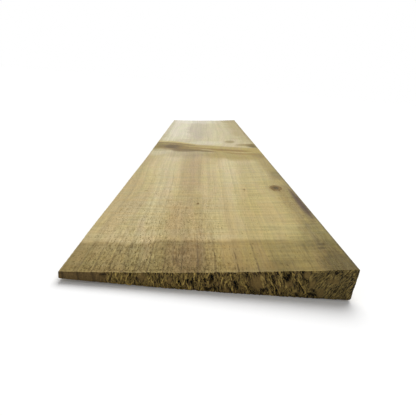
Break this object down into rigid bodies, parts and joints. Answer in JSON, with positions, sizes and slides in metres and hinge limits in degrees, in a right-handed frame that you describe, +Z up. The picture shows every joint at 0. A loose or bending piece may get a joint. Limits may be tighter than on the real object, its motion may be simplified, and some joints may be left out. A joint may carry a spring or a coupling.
{
  "type": "feather-edge board",
  "caption": "Sawn softwood feather-edge board, tapering from a thick edge to a thin one, lightly cupped, lying flat on its back.",
  "frame": {"origin": "on the ground, under the middle of the board's length and width", "axes": "+Y along the length, away from the sawn end that the picture shows; +X towards the thick edge; +Z up, out of the sawn face"},
  "size_m": [0.1252, 0.6, 0.0159],
  "materials": {
    "treated_softwood": "rough sawn, green pressure treated"
  },
  "bodies": {
    "root": {"featheredge_board": "treated_softwood"}
  },
  "joints": []
}
